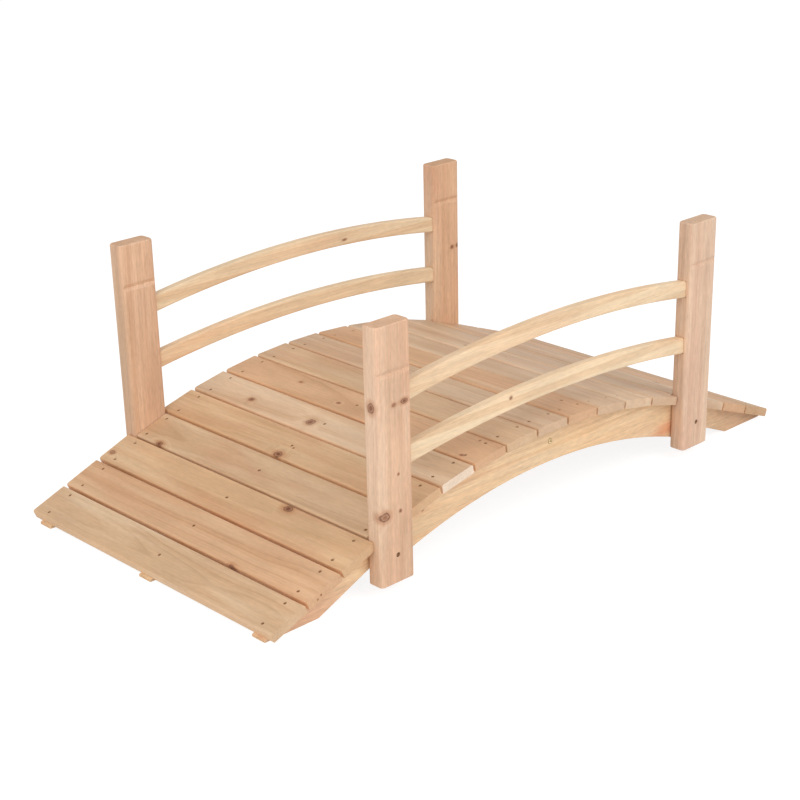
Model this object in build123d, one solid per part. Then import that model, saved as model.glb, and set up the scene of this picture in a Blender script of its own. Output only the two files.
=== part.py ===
from build123d import *
import math
import os

# Garden moon bridge, laid out in millimetres.
# X runs along the span, Y across it, Z up; the origin is on the ground below mid-span.

# Deck: seventeen flat boards fanned over an arch, with three on each straight ramp.
board_length = 774.0
board_width = 87.0
board_thickness = 19.0
board_gap = 6.0
landing_gap = 4.0
board_top_round = 4.5
board_edge_bevel = 0.8
arched_boards = 11
ramp_boards = 3
deck_radius = 1415.0
board_overhang = 21.0

# Screw countersinks in the boards: a pair over each side stringer, one over the middle.
screw_head = 8.4
screw_sink = 3.2
screw_edge = 14.5
screw_sides = 10
screw_taper = 30.0

# Stringers: an arch between the posts, lighter straight legs outside them.
stringer_thickness = 38.0
stringer_depth = 77.0
stringer_bevel = 1.0
nose_height = 5.0
foot_length = 130.0
leg_taper = math.radians(2.3)
tip_inset = 2.0
shoulder_lean = 7.0

# Posts: rounded bars bolted to the outer faces of the side stringers.
post_thickness = 40.0
post_foot = 27.0
post_rise = 330.0
post_round = 9.5
post_end_bevel = 2.6
groove_drop = 92.0
groove_half_height = 8.0
groove_depth = 3.5
bolt_drop = 32.0
bolt_seat = 10.0
bolt_seat_depth = 4.0

# Rails: two flatter arches a side, their ends housed in the posts.
rail_depth = 36.0
rail_thickness = 22.0
rail_inset = 6.5
rail_edge_round = 4.0
rail_housing = 14.0
upper_rail_rise = 235.0
upper_rail_radius = 2700.0
lower_rail_rise = 106.5
lower_rail_radius = 2850.0

# Braces: cross pieces between the stringers at mid-span.
brace_width = 44.0
brace_depth = 38.0
brace_drop = 12.0

# Clearances between pieces.
board_post_clearance = 0.5
short_board_clearance = 1.5
rail_clearance = 0.3
brace_clearance = 0.0

# Plan values worked out from the sizes above.
board_pitch = board_width + board_gap
board_angle = board_pitch / deck_radius
ramp_angle = arched_boards / 2 * board_angle
stringer_top_radius = deck_radius - board_thickness
stringer_low_radius = stringer_top_radius - stringer_depth
stringer_face = board_length / 2 - board_overhang
post_width = board_width
post_centre_x = deck_radius * math.sin((arched_boards - 1) / 2 * board_angle)
post_centre_y = stringer_face + post_thickness / 2
post_inner_x = post_centre_x - post_width / 2
post_outer_x = post_centre_x + post_width / 2
rail_centre_y = stringer_face + rail_inset + rail_thickness / 2

# Ends of the deck: each ramp starts a landing gap past the board between the posts.
last_edge_x = post_centre_x + board_width / 2 * math.cos((arched_boards - 1) / 2 * board_angle)
ramp_top_x = deck_radius * math.sin(ramp_angle)
ramp_start = (last_edge_x - ramp_top_x) / math.cos(ramp_angle) + landing_gap
ramp_length = ramp_boards * board_pitch - board_gap
tip_x = ramp_top_x + (ramp_start + ramp_length) * math.cos(ramp_angle) - tip_inset
foot_corner_x = tip_x - foot_length

# Heights: the arch's centre is set so that the stringers' noses stand nose_height high.
beam_end_x = stringer_top_radius * math.sin(ramp_angle)
beam_end_fall = (tip_x - beam_end_x) * math.tan(ramp_angle)
arch_centre = nose_height + beam_end_fall - stringer_top_radius * math.cos(ramp_angle)
deck_crown = arch_centre + deck_radius
post_top = deck_crown + post_rise
upper_rail_crown = deck_crown + upper_rail_rise
lower_rail_crown = deck_crown + lower_rail_rise


def arch_point(radius, angle):
    """Point of a circle about the deck's centre, measured from the crown towards +X."""
    return (radius * math.sin(angle), arch_centre + radius * math.cos(angle))


def arch_height(radius, x):
    """Height of a circle about the deck's centre above the point x."""
    return arch_centre + math.sqrt(radius ** 2 - x ** 2)


def ramp_point(radius, run):
    """Point of the straight ramp that leaves the circle at the ramp angle."""
    x, z = arch_point(radius, ramp_angle)
    return (x + run * math.cos(ramp_angle), z - run * math.sin(ramp_angle))


def deck_board(length, screw_rows):
    """Flat board with its top face on z = 0, rounded upper edges and screw seats sunk in it."""
    solid = Pos(0, 0, -board_thickness / 2) * Box(board_width, length, board_thickness)
    top = solid.faces().sort_by(Axis.Z)[-1]
    solid = fillet(top.edges().filter_by(Axis.Y), board_top_round)
    low = solid.faces().sort_by(Axis.Z)[0]
    solid = chamfer(low.edges().filter_by(Axis.Y), board_edge_bevel)
    across = board_width / 2 - screw_edge
    seats = [(0.0, 0.0)]
    for row in screw_rows:
        seats += [(-across, row), (across, row)]
    for x, y in seats:
        rim = Plane.XY * RegularPolygon(screw_head / 2, screw_sides)
        seat = extrude(rim, amount=-screw_sink, taper=screw_taper)
        solid -= Pos(x, y, 0) * seat
    return solid


def place(solid, point, angle):
    """Turns a board by an angle about Y and sets its top face on the point."""
    return Pos(point[0], 0, point[1]) * Rot(0, math.degrees(angle), 0) * solid


def ramp_board(solid, number):
    """Board of the right-hand ramp; the one next to the posts has its edge cut plumb to pass them."""
    run = ramp_start + number * board_pitch + board_width / 2
    board = place(solid, ramp_point(deck_radius, run), ramp_angle)
    if number > 0:
        return board
    face = post_outer_x + board_post_clearance
    room = Pos(face - board_width / 2, 0, ramp_point(deck_radius, run)[1])
    return board - room * Box(board_width, board_length + board_gap, board_width)


def make_boards():
    """All boards from the -X end to the +X end."""
    row = stringer_face - stringer_thickness / 2
    full = deck_board(board_length, (-row, row))
    short = deck_board(2 * (stringer_face - short_board_clearance), (-row, row))
    ramp = [ramp_board(full, number) for number in range(ramp_boards)]
    boards = [Rot(0, 0, 180) * board for board in reversed(ramp)]
    for number in range(arched_boards):
        angle = (number - (arched_boards - 1) / 2) * board_angle
        beside_post = number in (0, arched_boards - 1)
        boards.append(place(short if beside_post else full, arch_point(deck_radius, angle), angle))
    return boards + ramp


def make_stringer():
    """Side outline of an arch with two straight tapering legs, extruded across."""
    top_end = arch_point(stringer_top_radius, ramp_angle)
    low_x = post_centre_x - shoulder_lean
    low = (low_x, arch_height(stringer_low_radius, low_x))
    leg_x = post_centre_x + shoulder_lean
    leg = (leg_x, (foot_corner_x - leg_x) * math.tan(ramp_angle + leg_taper))
    with BuildSketch(Plane.XZ) as outline:
        with BuildLine():
            ThreePointArc((-top_end[0], top_end[1]), (0, deck_crown - board_thickness), top_end)
            Polyline(top_end, (tip_x, nose_height), (tip_x, 0), (foot_corner_x, 0), leg, low)
            ThreePointArc(low, (0, arch_centre + stringer_low_radius), (-low[0], low[1]))
            Polyline(
                (-low[0], low[1]), (-leg[0], leg[1]), (-foot_corner_x, 0), (-tip_x, 0),
                (-tip_x, nose_height), (-top_end[0], top_end[1]),
            )
        make_face()
    solid = extrude(outline.sketch, amount=stringer_thickness / 2, both=True)
    faces = solid.faces().sort_by(Axis.Y)
    return chamfer(list(faces[0].edges()) + list(faces[-1].edges()), stringer_bevel)


def rail_solid(crown, radius, reach, grow, easing):
    """Section turned about the arch's centre; grow widens every face for a housing."""
    middle = radius - rail_depth / 2
    sweep = math.asin(reach / middle)
    start = Plane(
        origin=(-middle * math.sin(sweep), 0, crown - radius + middle * math.cos(sweep)),
        x_dir=(0, 1, 0),
        z_dir=(math.cos(sweep), 0, math.sin(sweep)),
    )
    half_width = rail_thickness / 2 + grow
    half_depth = rail_depth / 2 + grow
    corner = [(0.0, 0.0)]
    if easing > 0:
        corner = [(easing, 0.0), (easing * 0.29, easing * 0.29), (0.0, easing)]
    quarter = [(half_width - x, half_depth - y) for x, y in corner]
    side = quarter + [(x, -y) for x, y in reversed(quarter)]
    points = side + [(-x, y) for x, y in reversed(side)]
    section = make_face(start * Polyline(*points, close=True))
    centre = Axis((0, 0, crown - radius), (0, 1, 0))
    return revolve(section, centre, 2 * math.degrees(sweep))


def make_rail(crown, radius):
    """Rail centred on Y, with eased edges and its ends square to its length."""
    reach = post_inner_x + rail_housing - rail_clearance
    return rail_solid(crown, radius, reach, 0.0, rail_edge_round)


def make_post(side_x, side_y):
    """Rounded post with grooved faces, rail housings and a seat for its bolt."""
    height = post_top - post_foot
    with BuildPart() as post:
        with BuildSketch(Plane.XY.offset(post_foot)):
            RectangleRounded(post_width, post_thickness, post_round)
        extrude(amount=height)
        chamfer(post.faces().sort_by(Axis.Z)[-1].edges(), post_end_bevel)
        chamfer(post.faces().sort_by(Axis.Z)[0].edges(), post_end_bevel / 2)
    solid = post.part
    groove_z = post_top - groove_drop
    for face in (-1, 1):
        with BuildSketch(Plane.YZ) as notch:
            with BuildLine():
                y = face * post_thickness / 2
                Polyline(
                    (y + face, groove_z + groove_half_height * (1 + 1 / groove_depth)),
                    (y - face * groove_depth, groove_z),
                    (y + face, groove_z - groove_half_height * (1 + 1 / groove_depth)),
                    close=True,
                )
            make_face()
        solid -= extrude(notch.sketch, amount=post_width, both=True)
    solid = Pos(side_x * post_centre_x, side_y * post_centre_y, 0) * solid
    for crown, radius in ((upper_rail_crown, upper_rail_radius), (lower_rail_crown, lower_rail_radius)):
        housing = rail_solid(crown, radius, post_inner_x + rail_housing, rail_clearance, 0.0)
        solid -= Pos(0, side_y * rail_centre_y, 0) * housing
    bolt_height = arch_height(stringer_top_radius, post_centre_x) - bolt_drop
    seat = Rot(90, 0, 0) * Cylinder(bolt_seat / 2, 2 * bolt_seat_depth)
    solid -= Pos(side_x * post_centre_x, side_y * (stringer_face + post_thickness), bolt_height) * seat
    return solid


def make_brace(side_y):
    """Square cross piece filling the space between the middle stringer and a side one."""
    inner = stringer_thickness / 2 + brace_clearance
    outer = stringer_face - stringer_thickness - brace_clearance
    top = deck_crown - board_thickness - brace_drop
    centre = side_y * (inner + outer) / 2
    solid = Pos(0, centre, top - brace_depth / 2) * Box(brace_width, outer - inner, brace_depth)
    return chamfer(solid.edges().filter_by(Axis.Y), stringer_bevel)


def save(solid, name):
    """Writes one piece as a STEP file and prints its box."""
    solid.label = name
    box = solid.bounding_box()
    export_step(solid, "parts/" + name + ".step")
    print("%-20s %8.1f %8.1f %8.1f   to %8.1f %8.1f %8.1f" % (name, *box.min, *box.max))


os.makedirs("parts", exist_ok=True)

for number, board in enumerate(make_boards(), start=1):
    save(board, "deck_board_%02d" % number)

stringer = make_stringer()
side_y = stringer_face - stringer_thickness / 2
save(Pos(0, -side_y, 0) * stringer, "stringer_near")
save(Pos(0, 0, 0) * stringer, "stringer_centre")
save(Pos(0, side_y, 0) * stringer, "stringer_far")

save(make_brace(-1), "brace_near")
save(make_brace(1), "brace_far")

for name, side in (("near", -1), ("far", 1)):
    save(make_post(-1, side), "post_left_" + name)
    save(make_post(1, side), "post_right_" + name)
    upper = make_rail(upper_rail_crown, upper_rail_radius)
    lower = make_rail(lower_rail_crown, lower_rail_radius)
    save(Pos(0, side * rail_centre_y, 0) * upper, "rail_upper_" + name)
    save(Pos(0, side * rail_centre_y, 0) * lower, "rail_lower_" + name)
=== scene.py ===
# %% [markdown]
# # A garden moon bridge, dressed for a picture
#
# The imported model already holds the bridge's thirty timbers at their true size: seventeen deck
# boards, three stringers, two braces, four posts and four rails. What it lacks is everything
# that makes timber look like timber. This lesson adds that in three layers: a wood that is
# solved in three dimensions, so faces, edges and sawn ends all agree; the small steel
# fasteners; and a calm studio with the camera standing where the photographer stood.
#
# First the model is loaded as a fixed frame.

# %% Load the imported bridge
import math
import bpy
import numpy as np
from mathutils import Matrix, Vector


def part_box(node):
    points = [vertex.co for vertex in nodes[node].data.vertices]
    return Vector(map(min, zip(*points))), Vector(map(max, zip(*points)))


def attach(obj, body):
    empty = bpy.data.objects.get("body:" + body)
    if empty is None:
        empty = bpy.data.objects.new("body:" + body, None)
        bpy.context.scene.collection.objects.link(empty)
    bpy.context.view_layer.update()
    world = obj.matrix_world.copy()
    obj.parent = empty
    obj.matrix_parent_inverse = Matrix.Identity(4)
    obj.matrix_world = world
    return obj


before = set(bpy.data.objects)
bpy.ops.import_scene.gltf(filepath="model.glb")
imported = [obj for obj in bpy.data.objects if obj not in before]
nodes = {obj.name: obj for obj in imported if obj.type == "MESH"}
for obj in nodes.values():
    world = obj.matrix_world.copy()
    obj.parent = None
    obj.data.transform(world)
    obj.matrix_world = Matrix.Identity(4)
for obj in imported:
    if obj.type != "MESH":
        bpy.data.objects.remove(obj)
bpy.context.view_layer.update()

scene = bpy.context.scene

# %% [markdown]
# ## The sizes the dressing needs
#
# Every length is in metres. The deck is an arc of a circle with a straight ramp at each end,
# so the lean of each board follows from its number alone: eleven boards fan round the arc,
# one pitch apart, and the three on each ramp share the arc's last angle. We work the leans
# out once, because the grain, the screws and the knots must all lean with their board.

# %% Sizes and leans
DECK_RADIUS = 1.415
BOARD_PITCH = 0.093
BOARD_WIDTH = 0.087
BOARD_THICKNESS = 0.019
BOARD_END = 0.387
BOARDS = 17
ARCHED_BOARDS = 11
POST_HALF_DEPTH = 0.020
BEAM_HALF = 0.019
RAIL_HALF = 0.011
SCREW_ROW = 0.347
SCREW_SPREAD = 0.029
POST_X = 0.4567
POST_FACE = 0.406
BEAM_FACE = 0.366
BOLT_HEIGHT = 0.0852
BRACE_SCREW_X = 0.015
BRACE_SCREW_Z = 0.162

ramp_lean = ARCHED_BOARDS / 2 * BOARD_PITCH / DECK_RADIUS


def board_lean(number):
    """Lean of a board in radians: its steps from the middle one, stopped at the ramp's lean."""
    lean = (number - (BOARDS + 1) / 2) * BOARD_PITCH / DECK_RADIUS
    return max(-ramp_lean, min(ramp_lean, lean))


def centre(name):
    """Middle of a node's box."""
    low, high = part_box(name)
    return (low + high) / 2


for number in (1, 4, 9):
    print("board", number, "leans", round(math.degrees(board_lean(number)), 1), "degrees")

# %% [markdown]
# ## Arithmetic that draws itself as nodes
#
# A wood shader is mostly arithmetic: distances, waves and blends. Wiring that by hand is slow
# to write and slower to read, so a small class wraps a socket. Adding, multiplying or
# subtracting wrapped sockets adds the Math or Vector Math node that does it. Numbers that
# meet only other numbers never reach the node tree: Python works them out.

# %% A socket that does arithmetic
class Flow:
    """A node output that can be used in sums; each operation adds one node to the tree."""

    def __init__(self, tree, socket):
        self.tree = tree
        self.socket = socket

    def node(self, kind, settings=None, values=None, output=0):
        """Adds a node of any type: settings are its properties, values its numbers or links."""
        made = self.tree.nodes.new(kind)
        for name, value in (settings or {}).items():
            setattr(made, name, value)
        for name, value in (values or {}).items():
            if isinstance(value, Flow):
                self.tree.links.new(value.socket, made.inputs[name])
            else:
                made.inputs[name].default_value = value
        return Flow(self.tree, made.outputs[output])

    def sum(self, operation, *terms):
        """One arithmetic node; it works on vectors as soon as one of its terms is a vector."""
        wide = any(
            isinstance(t, tuple) or isinstance(t, Flow) and t.socket.type == "VECTOR"
            for t in terms
        )
        if wide:
            terms = [t if isinstance(t, (Flow, tuple)) else (t, t, t) for t in terms]
        kind = "ShaderNodeVectorMath" if wide else "ShaderNodeMath"
        output = 1 if operation in ("LENGTH", "DOT_PRODUCT") else 0
        return self.node(kind, {"operation": operation}, dict(enumerate(terms)), output)

    def __add__(self, other):
        return self.sum("ADD", self, other)

    def __radd__(self, other):
        return self.sum("ADD", other, self)

    def __sub__(self, other):
        return self.sum("SUBTRACT", self, other)

    def __rsub__(self, other):
        return self.sum("SUBTRACT", other, self)

    def __mul__(self, other):
        return self.sum("MULTIPLY", self, other)

    def __rmul__(self, other):
        return self.sum("MULTIPLY", other, self)

    def __truediv__(self, other):
        return self.sum("DIVIDE", self, other)

    def __rtruediv__(self, other):
        return self.sum("DIVIDE", other, self)

    def __pow__(self, other):
        return self.sum("POWER", self, other)

    def axes(self):
        """The three parts of a vector."""
        made = self.tree.nodes.new("ShaderNodeSeparateXYZ")
        self.tree.links.new(self.socket, made.inputs[0])
        return [Flow(self.tree, out) for out in made.outputs]

    def step(self, low, high, start=0.0, end=1.0):
        """Smooth rise from start to end while the input goes from low to high."""
        values = {0: self, 1: low, 2: high, 3: start, 4: end}
        return self.node("ShaderNodeMapRange", {"interpolation_type": "SMOOTHSTEP"}, values)

    def noise(self, scale, detail=2.0):
        """Soft random value around a half; scale is in waves a metre, one for each axis."""
        values = {"Vector": self * scale, "Scale": 1.0, "Detail": detail}
        return self.node("ShaderNodeTexNoise", None, values)

    def blend(self, low, high):
        """Colour between low and high, with this value as the amount."""
        return self.node("ShaderNodeMix", {"data_type": "RGBA"}, {0: self, 6: low, 7: high}, 2)


def rgb(red, green, blue):
    """A colour from the 0 to 255 numbers of a screen to the linear light that nodes use."""
    parts = [c / 255 for c in (red, green, blue)]
    return tuple(c / 12.92 if c < 0.04 else ((c + 0.055) / 1.055) ** 2.4 for c in parts) + (1.0,)


def material(name):
    """An empty material, its shader, and the object-space position and normal to start from."""
    made = bpy.data.materials.new(name)
    made.use_nodes = True
    shader = made.node_tree.nodes["Principled BSDF"]
    where = made.node_tree.nodes.new("ShaderNodeTexCoord")
    position, normal = (Flow(made.node_tree, where.outputs[n]) for n in ("Object", "Normal"))
    return made, shader, position, normal


def plug(flow, shader, name):
    """Links a finished value to one input of the shader."""
    flow.tree.links.new(flow.socket, shader.inputs[name])


print("white pine", [round(c, 2) for c in rgb(226, 190, 150)[:3]])

# %% [markdown]
# ## Wood as a solid, not a picture
# - the side faces of deck boards are painted lighter, a painted fill light in the gaps between
#   them.
#
# A board is a slice of a log. Every year the log gains one ring, pale and soft in spring and
# thin and dark in late summer. If a material knows how far each point is from the log's
# centre, the same sum paints the flame shapes on a board's face, the straight lines on its
# edge and the curved rings on its sawn end, and they meet correctly at every corner.
#
# - the distance from the pith is bent by slow noise, because logs are never perfectly round,
#   and grows along the length, because they taper;
# - the fraction of a ring gives the season: it rises slowly and drops suddenly. Planed
#   softwood shows its rings only here and there, so a second noise fades them in patches;
# - a knot is the stump of a branch: a ball on the surface, dark inside, with a thin rim of
#   bark and a warm halo, and the rings of the trunk swell around it;
# - broad pale and warm streaks lie along the grain, and fibres are noise stretched eighty
#   times along it;
# - a tone patch is a soft ball of another tone: a stain such as a pocket of resin, and in
#   places painted light and shade, such as the paler left face of the near left post;
# - the long edges are painted a little paler, partly as rubbed wear and partly as a painted
#   highlight on their rounded arris, and sawn ends are rougher, with a tone of their own;
#
# The Mapping node turns each timber's own grain direction onto the local Y axis. The middle
# number of every noise below counts waves along the grain, and the outer two across it.

# %% The wood recipe
PITH_WANDER = 0.05  # metres that the pith strays from a straight line
LUMPINESS = 0.7  # how uneven the outline of a knot is
RIM_AT, RIM_NARROW = 0.95, 4.0  # where a knot's bark lies, in sizes of the knot, and how thin
SWELL = 1.7  # how far the rings swell round a knot, in sizes of the knot
SUMMER_POWER = 3.2  # the higher, the thinner the dark part of a ring
EDGE_BAND_WIDTH = 0.006  # metres of a long edge painted paler, as rubbed wear and as a painted highlight
FIBRE_SHADE, STREAK_SHADE, MOTTLE_SHADE, DRIFT_SHADE, WEAR_AND_HIGHLIGHT_SHADE = 0.24, 0.2, 0.22, 0.3, 0.2
HALO_TONE, BARK_TONE, END_TONE = 0.55, 0.75, 0.6
ROUGH = 0.6
BUMP = {"Strength": 0.55, "Distance": 0.0006}


def ball(p, spot, size, length):
    """Distance from a spot in units of a ball's size; length stretches it along the grain."""
    away = (p - spot) * (1 / size, 1 / (size * length), 1 / size)
    return away.sum("LENGTH", away)


def most(flows):
    """The largest of several values."""
    best = flows[0]
    for flow in flows[1:]:
        best = best.sum("MAXIMUM", best, flow)
    return best


def wood(name, middle, turn, look, knots=(), tone_patches=(), seed=0.0):
    """Solid wood for one timber.

    Season = fraction of (distance from the pith + noise) / ring width. Colour runs from the
    early tone to the late tone by season, then drifts by streaks, tone patches, knots and
    fibres. A knot is (spot, size, length along the grain, darkness), and a tone patch is
    (spot, size, length, amount, tone): a stain such as resin, a plain patch of another tone,
    and in places painted light and shade. The seed moves the noise, so that no two timbers
    share a piece of it.
    """
    made, shader, position, normal = material(name)
    local = {"vector_type": "TEXTURE"}
    placed = {"Vector": position, "Location": middle, "Rotation": turn}
    p = position.node("ShaderNodeMapping", local, placed)
    face = normal.node("ShaderNodeMapping", local, {"Vector": normal, "Rotation": turn})
    x, y, z = p.axes()
    across, along = face.axes()[:2]
    q = p + (seed * 3.17, seed * 1.31, seed * 2.23)

    pith_x, pith_z = look["pith"]
    dx = x - pith_x + (q.noise((4.0, 1.0, 4.0), 1.0) - 0.5) * PITH_WANDER
    dz = z - pith_z
    bend = (q.noise((6.0, 2.2, 6.0)) - 0.5) * look["sway"]
    radius = (dx * dx + dz * dz) ** 0.5 + bend + y * look["taper"]

    lumps = (q.noise((190.0, 120.0, 190.0)) - 0.5) * LUMPINESS
    cores, rims, halos = [], [], []
    for spot, size, length, dark in knots:
        d = ball(p, spot, size, length)
        radius = radius + d.step(0.5, 4.5, size * SWELL, 0.0)
        d = d + lumps
        cores.append(d.step(0.3, 1.0, dark, 0.0))
        from_rim = (d - RIM_AT) * RIM_NARROW
        rims.append(from_rim.sum("ABSOLUTE", from_rim).step(0.0, 1.0, 1.0, 0.0))
        halos.append(d.step(0.9, 2.4, 1.0, 0.0))

    ring = radius / look["ring"]
    season = ring.sum("FRACT", ring)
    late = season ** SUMMER_POWER * season.step(0.86, 1.0, 1.0, 0.0)
    years = radius.node(
        "ShaderNodeTexNoise",
        {"noise_dimensions": "1D"},
        {"W": radius * 60.0 + seed, "Scale": 1.0, "Detail": 2.0},
    )
    shown = q.noise((14.0, 3.5, 14.0), 1.0).step(0.4, 0.66, 0.12, 1.0)
    grain = late * years.step(0.32, 0.68, 0.35, 1.0) * shown

    fibre = q.noise((800.0, 10.0, 800.0))
    streak = q.noise((190.0, 4.5, 190.0))
    mottle = q.noise((260.0, 55.0, 260.0))
    pale = q.noise((27.0, 2.4, 27.0)).step(0.5, 0.74)
    warm = q.noise((15.0, 2.8, 15.0)).step(0.46, 0.74)
    drift = q.noise((13.0, 6.0, 13.0))

    colour = years.step(0.3, 0.72, 0.0, 0.8).blend(look["early"], look["mid"])
    colour = (grain * look["contrast"]).blend(colour, look["late"])
    colour = (pale * look["cream"]).blend(colour, look["pale"])
    colour = (warm * look["blush"]).blend(colour, look["heart"])
    for spot, size, length, amount, tone in tone_patches:
        soft = ball(p, spot, size, length) + lumps * 0.8
        colour = soft.step(0.2, 1.3, amount, 0.0).blend(colour, tone)

    fine = (fibre - 0.5) * FIBRE_SHADE + (streak - 0.5) * STREAK_SHADE
    fine = fine + (mottle - 0.5) * MOTTLE_SHADE
    shade = 1.0 + fine * look["coarse"] + (drift - 0.5) * DRIFT_SHADE
    half_x, half_z = look["half"]
    # Long edges painted paler: partly rubbed wear, partly a painted highlight on the rounded
    # arris.
    edge_band_x = x.sum("ABSOLUTE", x).step(half_x - EDGE_BAND_WIDTH, half_x)
    edge_band_z = z.sum("ABSOLUTE", z).step(half_z - EDGE_BAND_WIDTH, half_z)
    # Side faces painted lighter by the look's side value: painted fill light that lifts the shade
    # in the gaps.
    side = across.sum("ABSOLUTE", across).step(0.5, 0.95)
    wear_and_highlight = edge_band_x * edge_band_z * (1.0 - side) * q.noise((60.0, 14.0, 60.0))
    shade = shade + wear_and_highlight * WEAR_AND_HIGHLIGHT_SHADE + side * look["side"]
    sawn = along.sum("ABSOLUTE", along).step(0.75, 0.95)
    colour = (sawn * END_TONE).blend(colour, look["end"])
    grey = shade.node("ShaderNodeCombineXYZ", None, {0: shade, 1: shade, 2: shade})
    colour = colour.sum("MULTIPLY", colour, grey)
    saw = q.noise((700.0, 1.0, 60.0))
    height = (fibre * 0.5 + streak * 0.4 - grain * 0.3) * (1.0 - sawn) + saw * sawn * 1.4
    if knots:
        rim = most(rims)
        colour = (most(halos) * HALO_TONE).blend(colour, look["halo"])
        colour = most(cores).blend(colour, look["knot"])
        colour = (rim * BARK_TONE).blend(colour, look["bark"])
        height = height - rim * 0.8
    plug(colour, shader, "Base Color")
    plug(ROUGH + (fibre - 0.5) * 0.2 - grain * 0.08 + sawn * 0.2, shader, "Roughness")
    plug(height.node("ShaderNodeBump", None, dict(BUMP, Height=height)), shader, "Normal")
    return made


# %% [markdown]
# ## The looks of the four kinds of timber
#
# All of it is the same pale softwood, bare and planed, but the trunks differed: the deck is a
# greyer tan, the posts are pinker heartwood, and the beams and rails a clear yellow. Each
# look is a small table of tones, with the place of the pith, the width of a ring and the
# strength of each effect. A tint then multiplies every tone of one timber, because no two
# boards in the photographed deck are alike: one is cream, its neighbour nearly pink.

# %% Tones and tints
deck = dict(
    early=rgb(220, 185, 148), mid=rgb(206, 166, 126), late=rgb(158, 112, 74),
    pale=rgb(232, 205, 171), heart=rgb(202, 153, 116), end=rgb(214, 180, 146),
    halo=rgb(176, 108, 62), knot=rgb(116, 66, 36), bark=rgb(82, 46, 26), pith=(0.0, -0.05),
    sway=0.022, taper=0.01, ring=0.0042, contrast=0.52, cream=0.5, blush=0.5,
    # side: how much lighter the side faces are painted, as painted fill light in the gaps
    half=(BOARD_WIDTH / 2, BOARD_THICKNESS / 2), side=0.12, coarse=1.0,
)
post = dict(
    deck, early=rgb(226, 187, 155), mid=rgb(214, 170, 137), late=rgb(188, 138, 104),
    pale=rgb(236, 206, 176), heart=rgb(220, 164, 136), end=rgb(206, 164, 130), pith=(0.03, 0.06),
    contrast=0.55, cream=0.45, blush=0.4, half=(BOARD_WIDTH / 2, POST_HALF_DEPTH), side=0.0,
    coarse=1.5,
)
beam = dict(
    deck, early=rgb(241, 209, 168), mid=rgb(232, 192, 148), late=rgb(196, 146, 98),
    pale=rgb(245, 222, 188), heart=rgb(232, 180, 138), end=rgb(214, 170, 128), pith=(0.05, -0.09),
    ring=0.0044, contrast=0.6, half=(BEAM_HALF, 0.0), side=0.0, coarse=1.7,
)
rail = dict(
    beam, early=rgb(240, 213, 177), mid=rgb(229, 194, 154), late=rgb(198, 154, 110),
    pith=(0.02, -0.06), ring=0.004, cream=0.3, blush=0.3, contrast=0.5, coarse=1.3,
    half=(RAIL_HALF, 0.0),
)
tints = dict(
    plain=(1.0, 1.0, 1.0), cream=(1.07, 1.12, 1.2), pink=(1.02, 0.93, 0.88),
    grey=(0.97, 0.99, 1.05), honey=(1.02, 0.97, 0.9), brown=(0.9, 0.84, 0.78),
    chalk=(1.0, 1.08, 1.16),
)


def tinted(look, tint):
    """The look with each of its tones multiplied by a tint."""
    factors = np.array(tints[tint] + (1.0,))
    made = dict(look)
    for key, value in look.items():
        if np.shape(value) == (4,):
            made[key] = tuple(np.array(value) * factors)
    return made


print("four looks of", len(deck), "values,", len(tints), "tints")

# %% [markdown]
# ## Dressing the deck
#
# Every board is cut from its own place in its own log: the pith lies above or below it, a
# little to one side, and the log tapers one way or the other. The knots are set where the
# photograph shows them, in the board's own frame: across, along, and at its top face. One
# board has bleached ends.

# %% Deck boards
def dress(name, made):
    """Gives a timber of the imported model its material."""
    nodes[name].data.materials.clear()
    nodes[name].data.materials.append(made)


BOARD_SEED, BEAM_SEED, POST_SEED, RAIL_SEED = 1.7, 1.3, 1.1, 1.1
top = BOARD_THICKNESS / 2
board_tints = {
    1: "plain", 2: "pink", 3: "honey", 4: "plain", 5: "honey", 6: "cream", 7: "pink", 8: "plain",
    9: "grey", 10: "pink", 11: "grey", 12: "cream", 13: "grey", 14: "plain", 15: "grey",
    16: "pink", 17: "brown",
}
board_knots = {
    2: [
        ((-0.0425, -0.169, 0.004), 0.005, 2.0, 0.9),
        ((-0.0102, -BOARD_END, 0.001), 0.0017, 1.0, 1.0),
        ((-0.0203, -BOARD_END, -0.002), 0.0015, 1.0, 1.0),
    ],
    3: [((0.0365, -0.153, top), 0.0078, 1.4, 1.0), ((-0.015, 0.372, top), 0.005, 1.4, 0.5)],
    4: [((-0.0410, 0.288, top), 0.0065, 1.4, 0.95)],
    5: [((-0.0366, 0.003, top), 0.0078, 1.3, 1.0), ((-0.0056, -0.011, top), 0.0022, 1.0, 0.9)],
    6: [((-0.012, 0.225, top), 0.0055, 1.2, 1.0), ((-0.0114, 0.032, top), 0.009, 1.15, 0.9)],
    7: [
        ((-0.0155, 0.041, top), 0.0034, 1.3, 0.8),
        ((0.0077, 0.189, top), 0.0028, 1.3, 0.7),
        ((-0.034, -0.342, top), 0.003, 1.4, 0.9),
        ((0.029, -0.331, top), 0.0018, 1.0, 0.9),
    ],
    10: [((0.02, -0.31, top), 0.0022, 1.2, 0.8)],
    12: [((-0.01, 0.12, top), 0.0025, 1.3, 0.7)],
    15: [((0.02, -0.21, top), 0.005, 1.3, 0.8)],
}
board_ends = {6: rgb(246, 229, 212)}
random = np.random.default_rng(11)
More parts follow.
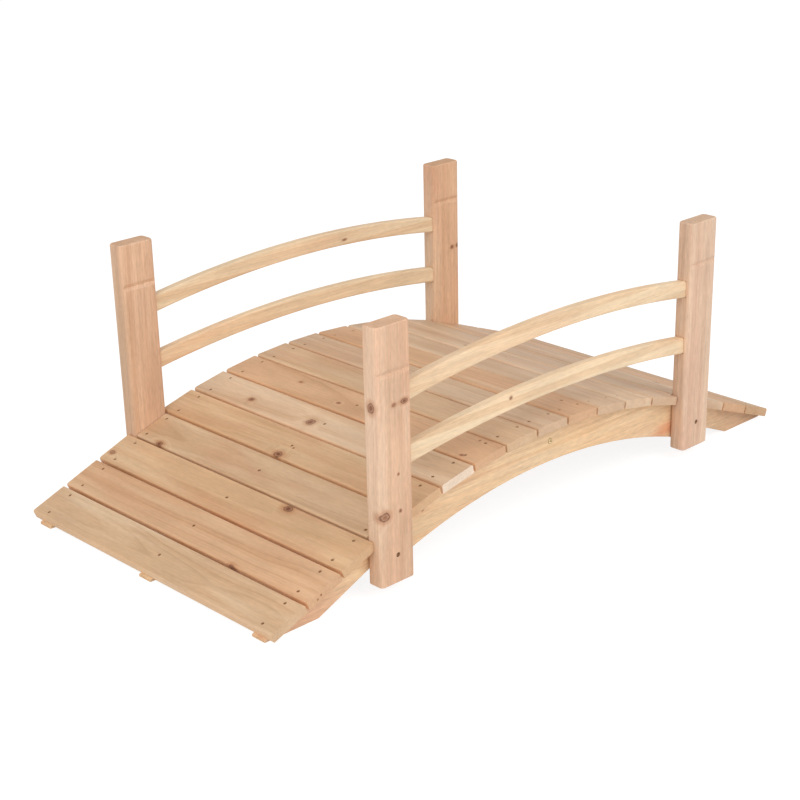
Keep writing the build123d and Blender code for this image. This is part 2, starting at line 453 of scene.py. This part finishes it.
for number in range(1, BOARDS + 1):
    name = "deck_board_%02d" % number
    look = tinted(deck, board_tints[number])
    look["end"] = board_ends.get(number, look["end"])
    above, grows = random.choice([-1, 1], 2)
    beside = random.uniform(-0.05, 0.05)
    look["pith"] = (float(beside), float(above * random.uniform(0.02, 0.1)))
    look["taper"] = float(grows * random.uniform(0.008, 0.03))
    look["ring"] = float(random.uniform(0.0034, 0.0058))
    look["cream"] = float(random.uniform(0.2, 0.65))
    look["blush"] = float(random.uniform(0.25, 0.75))
    turn = (0, board_lean(number), 0)
    marks = (board_knots.get(number, ()), ())
    dress(name, wood("wood_" + name, centre(name), turn, look, *marks, number * BOARD_SEED))
print(BOARDS, "boards,", sum(len(k) for k in board_knots.values()), "knots")

# %% [markdown]
# ## Dressing the beams, posts and rails
#
# The stringers and rails have their grain along the span, the posts have it upright, and the
# braces have it across. A stringer's curved edges cut straight grain, so its rings run out
# at the arch, as they do on any curve sawn from a plank. The near stringer has a reddish
# pocket of resin low beside the right-hand post.

# %% Beams, posts and rails
along_x = (0, 0, -math.pi / 2)
along_z = (math.pi / 2, 0, 0)
near_tone_patches = [
    ((BEAM_HALF, 0.402, -0.024), 0.019, 2.8, 0.8, rgb(226, 156, 114)),
    ((BEAM_HALF, 0.10, 0.04), 0.05, 3.0, 0.3, rgb(222, 176, 124)),
    # Painted shade: a darker brown patch low on the right-hand leg, under the ramp boards.
    ((0.0, 0.68, -0.07), 0.1, 1.6, 0.75, rgb(204, 164, 130)),
    # A pinker patch low on the left-hand leg.
    ((0.0, -0.66, -0.08), 0.08, 1.6, 0.5, rgb(228, 178, 148)),
]
near_knots = [((BEAM_HALF, -0.353, 0.034), 0.0028, 1.2, 0.8)]
for seed, row in enumerate(("near", "centre", "far"), start=31):
    name = "stringer_" + row
    marks = (near_knots, near_tone_patches) if row == "near" else ((), ())
    dress(name, wood("wood_" + name, centre(name), along_x, beam, *marks, seed * BEAM_SEED))
for seed, row in enumerate(("near", "far"), start=41):
    name = "brace_" + row
    dress(name, wood("wood_" + name, centre(name), (0, 0, 0), beam, (), (), seed * BEAM_SEED))

wide, deep = post["half"]
post_knots = {
    "left_near": [
        ((-wide, 0.104, 0.003), 0.0078, 1.25, 0.85),
        ((0.0235, 0.104, deep), 0.0082, 0.6, 0.9),
        ((-0.0025, 0.103, deep), 0.0042, 0.7, 0.5),
        ((-0.031, -0.1125, 0.0165), 0.0115, 0.75, 0.65),
        ((0.008, -0.1115, deep), 0.0028, 1.1, 0.9),
        ((0.005, -0.036, deep), 0.0022, 1.1, 0.8),
    ],
    "left_far": [((0.01, 0.06, -deep), 0.004, 1.0, 0.8), ((wide, -0.05, 0.0), 0.005, 1.1, 0.6)],
    "right_near": [((wide, -0.06, 0.004), 0.005, 1.1, 0.6)],
    "right_far": [
        ((0.0173, 0.046, deep), 0.0045, 0.9, 0.85),
        ((0.036, 0.047, deep), 0.0045, 0.9, 0.85),
    ],
}
post_tone_patches = {
    # Painted light: the left face of the near left post and its rounded front corner painted
    # paler.
    "left_near": [((-wide, 0.0, 0.0), 0.034, 8.0, 0.4, rgb(238, 216, 190))],
    # The left faces of the far posts are toned darker on the left post and paler on the right
    # one.
    "left_far": [((-wide, 0.0, 0.0), 0.03, 9.0, 0.5, rgb(192, 156, 122))],
    "right_far": [((-wide, 0.0, 0.0), 0.03, 9.0, 0.5, rgb(232, 208, 180))],
}
post_tints = {
    "left_near": "plain", "left_far": "plain", "right_near": "chalk", "right_far": "honey",
}
for seed, side in enumerate(post_tints, start=51):
    name = "post_" + side
    marks = (post_knots[side], post_tone_patches.get(side, ()))
    look = tinted(post, post_tints[side])
    dress(name, wood("wood_" + name, centre(name), along_z, look, *marks, seed * POST_SEED))

rail_knots = {
    "lower_near": [((RAIL_HALF, -0.134, 0.021), 0.003, 1.2, 0.8)],
    "upper_far": [((RAIL_HALF, 0.127, 0.0095), 0.0022, 2.6, 0.8)],
}
for seed, side in enumerate(("upper_near", "lower_near", "upper_far", "lower_far"), start=61):
    name = "rail_" + side
    marks = (rail_knots.get(side, ()), ())
    dress(name, wood("wood_" + name, centre(name), along_x, rail, *marks, seed * RAIL_SEED))
print(len(bpy.data.materials), "materials")

# %% [markdown]
# ## Fasteners turned from a profile
#
# Each screw is a surface of revolution: a profile of radius and height is swept round, and
# the cross in its head is pressed in by lowering the points that fall inside it. A bolt's
# socket is pressed the same way, with six flats in place of the cross. Pressing keeps the
# mesh one closed skin, where cutting with a Boolean would leave ragged triangles.

# %% Turned heads
def turned(profile, sectors, press):
    """Points and faces of a profile turned about Z.

    A point is (radius cos a, radius sin a, height - press(x, y)). Both ends of the profile
    lie on the axis, where one shared point closes the form.
    """
    radius, height = np.array(profile).T
    a = np.arange(sectors) * 2 * np.pi / sectors
    x = radius[1:-1, None] * np.cos(a)
    y = radius[1:-1, None] * np.sin(a)
    z = height[1:-1, None] - press(x, y, height[1:-1, None])
    points = np.stack([x, y, z], -1).reshape(-1, 3)
    middle = press(np.zeros(1), np.zeros(1), height[0])
    points = np.vstack([points, [(0, 0, height[0] - middle[0])], [(0, 0, height[-1])]])
    rings = len(radius) - 2
    i = np.arange(sectors)
    j = (i + 1) % sectors
    row = np.arange(rings - 1)[:, None] * sectors
    below = row + sectors
    quads = np.stack([row + i, below + i, below + j, row + j], -1).reshape(-1, 4)
    tip, tail = len(points) - 2, len(points) - 1
    last = (rings - 1) * sectors
    front = np.stack([np.full(sectors, tip), i, j], -1)
    back = np.stack([np.full(sectors, tail), last + j, last + i], -1)
    return points, quads.tolist() + front.tolist() + back.tolist()


def cross_slot(depth, reach, width, floor):
    """Presses a cross into points above the floor: depth fades at its arms' ends and sides."""
    def press(x, y, z):
        near = np.minimum(np.abs(x), np.abs(y))
        far = np.maximum(np.abs(x), np.abs(y))
        side = np.clip((width - near) / (width * 0.35), 0, 1)
        end = np.clip((reach - far) / (reach * 0.45), 0, 1)
        return depth * side * end * (z > floor)
    return press


def socket(depth, reach, floor):
    """Presses a six-sided socket: the largest distance across its three pairs of flats counts."""
    def press(x, y, z):
        turns = np.radians([0, 60, 120]).reshape((3,) + (1,) * np.ndim(x))
        flats = np.abs(np.cos(turns) * x + np.sin(turns) * y).max(0)
        return depth * np.clip((reach - flats) / (reach * 0.12), 0, 1) * (z > floor)
    return press


def solid(name, points, faces, made):
    """A smooth mesh object from points and faces, riding on the bridge."""
    mesh = bpy.data.meshes.new(name)
    mesh.from_pydata(points.tolist(), [], faces)
    mesh.materials.append(made)
    mesh.shade_smooth()
    piece = bpy.data.objects.new(name, mesh)
    scene.collection.objects.link(piece)
    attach(piece, "root")


def lean_matrix(lean):
    """Turn about Y by a lean, as a 3 by 3 table."""
    c, s = math.cos(lean), math.sin(lean)
    return np.array([[c, 0, s], [0, 1, 0], [-s, 0, c]])


# %% [markdown]
# ## Deck screws
#
# Eighty-five screws hold the boards: a pair over each side beam and one over the middle. One
# screw is made, then copied by arithmetic into its seat, turned by its own angle, and leaned
# with its board. The steel is dulled by handling and mottled with the first rust; the screws
# of the braces are brighter, plated yellow, with painted shade over their slots, set off to
# one side, and round their rims.
# The profiles below are in millimetres.

# %% Eighty-five screws in one mesh
MM = 0.001
ENDLESS = 1000.0  # stretches a ball along Y until it is a straight rod
SLOT_SHADE_REACH, SLOT_SHADE_SHIFT, RIM_SHADE_REACH = 0.0034, 0.0013, 0.0056  # metres from a head's axis
# Tone of the painted shade on the brace screws' heads.
HEAD_SHADE = rgb(58, 42, 26)


def metal(name, dark, light, rough, head=None):
    """Metal in two tones mottled by fine noise, with painted shade on a head whose axis runs
    along Y.
    """
    made, shader, position = material(name)[:3]
    dull = position.noise((900.0, 900.0, 900.0), 3.0)
    colour = dull.step(0.3, 0.7).blend(dark, light)
    if head:
        # Painted shade: a dark spot over the cross, shifted to one side so the other side reads
        # as lit, and a dark ring round the rim where the head meets the wood.
        slot = ball(position, (head[0] + SLOT_SHADE_SHIFT, 0.0, head[1]), SLOT_SHADE_REACH, ENDLESS)
        rim = ball(position, (head[0], 0.0, head[1]), RIM_SHADE_REACH, ENDLESS)
        colour = slot.step(0.7, 1.0, 0.9, 0.0).blend(colour, HEAD_SHADE)
        colour = rim.step(0.85, 1.0, 0.0, 0.75).blend(colour, HEAD_SHADE)
    plug(colour, shader, "Base Color")
    plug(rough + dull * 0.3, shader, "Roughness")
    shader.inputs["Metallic"].default_value = 1.0
    return made


steel = metal("screw_steel", rgb(92, 64, 44), rgb(158, 124, 92), 0.3)
brace_screw = (BRACE_SCREW_X, BRACE_SCREW_Z)
brass = metal("screw_brass", rgb(206, 172, 112), rgb(250, 230, 180), 0.1, brace_screw)

plate = [(r, -0.9) for r in np.linspace(0.25, 3.1, 12)]
profile = [(0, -0.9)] + plate + [(3.4, -0.98), (3.5, -1.2), (2.6, -2.8), (0, -3.0)]
slot = cross_slot(depth=1.1, reach=2.3, width=0.55, floor=-1.0)
points, faces = turned(profile, 28, slot)
points = points * MM
print("one screw:", len(faces), "faces")

places = []
for number in range(1, BOARDS + 1):
    name = "deck_board_%02d" % number
    turn = lean_matrix(board_lean(number))
    face = np.array(centre(name)) + turn @ np.array([0, 0, top])
    for sx, sy in ((0, 0), (-1, -1), (1, -1), (-1, 1), (1, 1)):
        places.append((face + turn @ np.array([sx * SCREW_SPREAD, sy * SCREW_ROW, 0]), turn))
spins = random.uniform(0, np.pi / 2, len(places))
all_points = []
for (place, turn), spin in zip(places, spins):
    c, s = np.cos(spin), np.sin(spin)
    spun = points @ np.array([[c, s, 0], [-s, c, 0], [0, 0, 1]])
    all_points.append(spun @ turn.T + place)
all_faces = [[v + k * len(points) for v in f] for k in range(len(places)) for f in faces]
solid("deck_screws", np.vstack(all_points), all_faces, steel)
print(len(places), "deck screws,", len(all_faces), "faces")

# %% [markdown]
# ## Post bolts and brace screws
#
# Each post is held by one socket bolt, sunk in a round seat near its foot. The braces are
# held by a single cross-head screw through each side beam, with a low dome that stands proud
# of the wood and catches the light.

# %% Bolts and domed screws
dome = [(r, -1.6 + 0.35 * (1 - (r / 4.4) ** 2)) for r in np.linspace(0.3, 4.3, 14)]
bolt = [(0, -1.25)] + dome + [(4.6, -1.75), (4.7, -2.2), (4.7, -3.8), (0, -3.95)]
bolt_points, bolt_faces = turned(bolt, 36, socket(depth=1.9, reach=2.2, floor=-1.7))
low_dome = [(r, 1.1 - 0.75 * (r / 6.0) ** 2) for r in np.linspace(0.3, 5.8, 18)]
head = [(0, 1.1)] + low_dome + [(6.2, 0.15), (6.3, -0.3), (0, -0.35)]
slot = cross_slot(depth=1.9, reach=4.6, width=1.3, floor=0.2)
head_points, head_faces = turned(head, 40, slot)
outward = {
    "near": np.array([[1, 0, 0], [0, 0, -1], [0, 1, 0]]),
    "far": np.array([[-1, 0, 0], [0, 0, 1], [0, 1, 0]]),
}
for sy, row in ((-1, "near"), (1, "far")):
    turn = outward[row]
    for sx, side in ((-1, "left"), (1, "right")):
        place = np.array([sx * POST_X, sy * POST_FACE, BOLT_HEIGHT])
        solid("bolt_%s_%s" % (side, row), bolt_points * MM @ turn.T + place, bolt_faces, steel)
    place = np.array([BRACE_SCREW_X, sy * BEAM_FACE, BRACE_SCREW_Z])
    solid("brace_screw_" + row, head_points * MM @ turn.T + place, head_faces, brass)
print(len(bolt_faces), "faces a bolt,", len(head_faces), "a domed screw")

# %% [markdown]
# ## Studio
#
# The photograph is a studio shot on white: even light, a bright front, and only a breath of
# shadow. A pale dome lights everything, one wide lamp stands to the front right of the
# camera and a second fills from the left. To the camera, and to rays that mirror in steel,
# the dome and most of the floor show plain white; the rest of the floor keeps the shadow.

# %% Dome, lamps and floor
DOME = 0.52
FLOOR_GLOW = 1.25
FLOOR_GLOW_SHARE = 0.7
FLOOR_HALF = 40
LAMP_DISTANCE, LAMP_SIZE = 4.2, 2.4
LAMP_AIM = (0, 0, 0.25)
world = bpy.data.worlds.new("studio")
scene.world = world
world.use_nodes = True
background = world.node_tree.nodes["Background"]
background.inputs["Color"].default_value = (1, 1, 1, 1)


def seen(tree):
    """One for rays that start at the camera or mirror or pass through something, else zero."""
    path = tree.nodes.new("ShaderNodeLightPath")
    names = ("Is Camera Ray", "Is Glossy Ray", "Is Transmission Ray")
    return most([Flow(tree, path.outputs[n]) for n in names])


plug(DOME + seen(world.node_tree) * (1 - DOME), background, "Strength")


def lamp(name, side, power):
    """A square softbox that looks at the middle of the bridge from one side."""
    data = bpy.data.lights.new(name, "AREA")
    data.shape = "SQUARE"
    data.size = LAMP_SIZE
    data.energy = power
    made = bpy.data.objects.new(name, data)
    direction = np.array(side) / np.linalg.norm(side)
    made.location = direction * LAMP_DISTANCE + np.array(LAMP_AIM)
    made.rotation_euler = Vector(direction).to_track_quat("Z", "Y").to_euler()
    scene.collection.objects.link(made)


lamp("key", (0.1, -1.0, 0.8), 61)
lamp("fill", (-1.0, -0.3, 0.65), 51)

floor_mesh = bpy.data.meshes.new("floor")
around = ((-1, -1), (1, -1), (1, 1), (-1, 1))
corners = [(sx * FLOOR_HALF, sy * FLOOR_HALF, 0) for sx, sy in around]
floor_mesh.from_pydata(corners, [], [(0, 1, 2, 3)])
floor = bpy.data.objects.new("floor", floor_mesh)
scene.collection.objects.link(floor)
white, shader = material("floor_white")[:2]
shader.inputs["Base Color"].default_value = (0.93, 0.93, 0.93, 1)
shader.inputs["Roughness"].default_value = 0.9
path = seen(white.node_tree)
glow = path.node("ShaderNodeEmission", None, {"Color": (1, 1, 1, 1), "Strength": FLOOR_GLOW})
lit = Flow(white.node_tree, shader.outputs[0])
both = path.node("ShaderNodeMixShader", None, {0: path * FLOOR_GLOW_SHARE, 1: lit, 2: glow})
plug(both, white.node_tree.nodes["Material Output"], "Surface")
floor_mesh.materials.append(white)
print("dome", DOME, "and two lamps")

# %% [markdown]
# ## Camera
#
# The camera stands at eye height, off the near corner of the left-hand ramp, with a long lens.
# Its turn is given as yaw, pitch and roll, worked out by matching the corners of posts and
# boards with the photograph. The lens points a little below the middle of the picture, so a
# small upward shift of the frame makes up for it.

# %% Camera
FOCAL = 1739.5
PRINCIPAL = (400.0, 450.0)
PIXELS = 800
SENSOR = 36.0
YAW_PITCH_ROLL = (-43.332, 22.908, -1.351)
CAMERA_PLACE = (-2.4671, -2.5481, 1.5402)
yaw, pitch, roll = (math.radians(v) for v in YAW_PITCH_ROLL)
level = np.array([math.sin(yaw), -math.cos(yaw), 0.0])
back = level * math.cos(pitch) + np.array([0.0, 0.0, math.sin(pitch)])
right = np.array([math.cos(yaw), math.sin(yaw), 0.0])
up = np.cross(right, -back)
c, s = math.cos(roll), math.sin(roll)
right, up = c * right + s * up, c * up - s * right
data = bpy.data.cameras.new("camera")
data.sensor_width = SENSOR
data.lens = FOCAL * SENSOR / PIXELS
data.shift_x = 0.5 - PRINCIPAL[0] / PIXELS
data.shift_y = PRINCIPAL[1] / PIXELS - 0.5
camera = bpy.data.objects.new("camera", data)
camera.rotation_euler = Matrix(np.stack([right, up, back], 1).tolist()).to_euler()
camera.location = CAMERA_PLACE
scene.collection.objects.link(camera)
scene.camera = camera
scene.view_settings.view_transform = "Standard"
print("lens", round(data.lens, 1), "mm")
